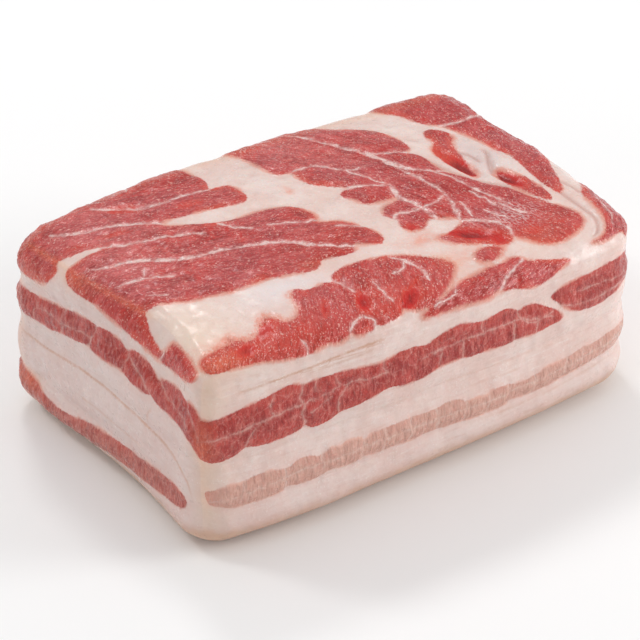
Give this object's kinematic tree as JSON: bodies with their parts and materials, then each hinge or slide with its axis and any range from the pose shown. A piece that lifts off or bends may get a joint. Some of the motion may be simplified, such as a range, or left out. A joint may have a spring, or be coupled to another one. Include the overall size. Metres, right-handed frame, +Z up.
{
  "type": "pork belly slab",
  "caption": "Raw boneless pork belly slab: a rounded rectangular block with bands of red lean and pale fat on its cut sides, a marbled top and a skin underside.",
  "frame": {"origin": "centre of the bounding box's bottom face, on the flat underside the slab rests on", "axes": "+X along the slab's long sides towards its thinner right end, +Y from the front long side to the back one, +Z up through its thickness, from skin side to the marbled top"},
  "size_m": [0.147, 0.0974, 0.058],
  "materials": {
    "belly_meat": "moist raw pork: red lean and pale pinkish fat in bands, satin with small wet glints, tan skin underneath"
  },
  "bodies": {
    "root": {"pork_belly_slab": "belly_meat"}
  },
  "joints": []
}
